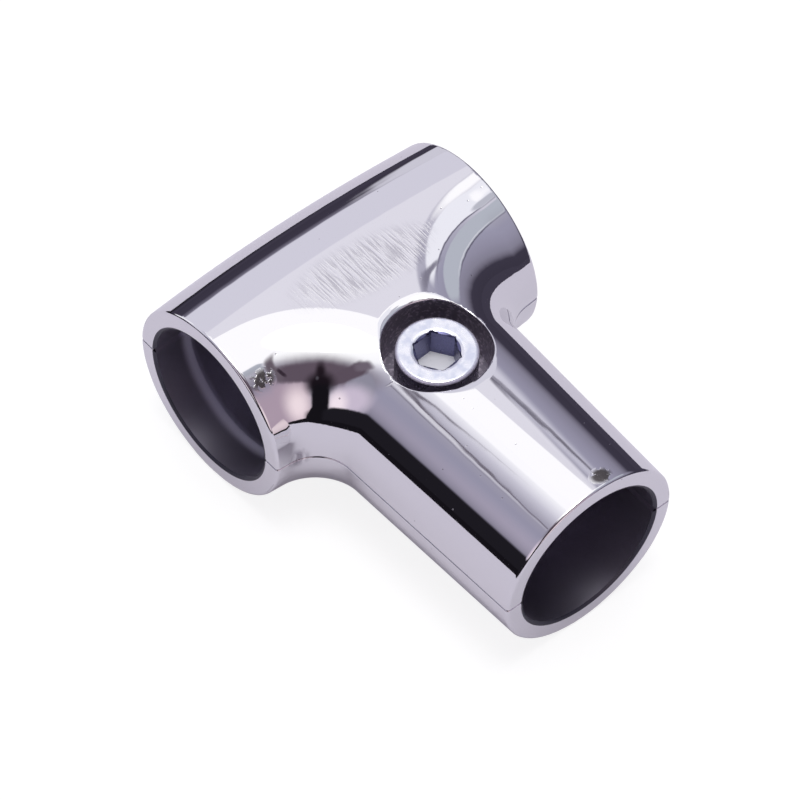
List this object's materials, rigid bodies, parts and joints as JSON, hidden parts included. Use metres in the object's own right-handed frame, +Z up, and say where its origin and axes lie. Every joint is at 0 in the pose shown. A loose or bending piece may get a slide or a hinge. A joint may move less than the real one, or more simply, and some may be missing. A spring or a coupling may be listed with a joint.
{
  "type": "tube clamp tee fitting",
  "caption": "Two-piece chrome tee clamp that joins a tube's end square to the side of a run-through tube, drawn shut by a socket-head screw.",
  "frame": {"origin": "where the run's axis crosses the stem's axis, on the plane where the two shells meet", "axes": "+X along the run, -Y out of the stem's mouth, +Z up the screw and out of its head"},
  "size_m": [0.041, 0.0588, 0.0254],
  "materials": {
    "chrome_shell": "bright polished chrome plate on a zinc casting, with dark satin bores",
    "zinc_screw": "pale satin bright-zinc plated steel"
  },
  "bodies": {
    "root": {"upper_shell": "chrome_shell", "lower_shell": "chrome_shell", "clamp_screw": "zinc_screw"}
  },
  "joints": []
}
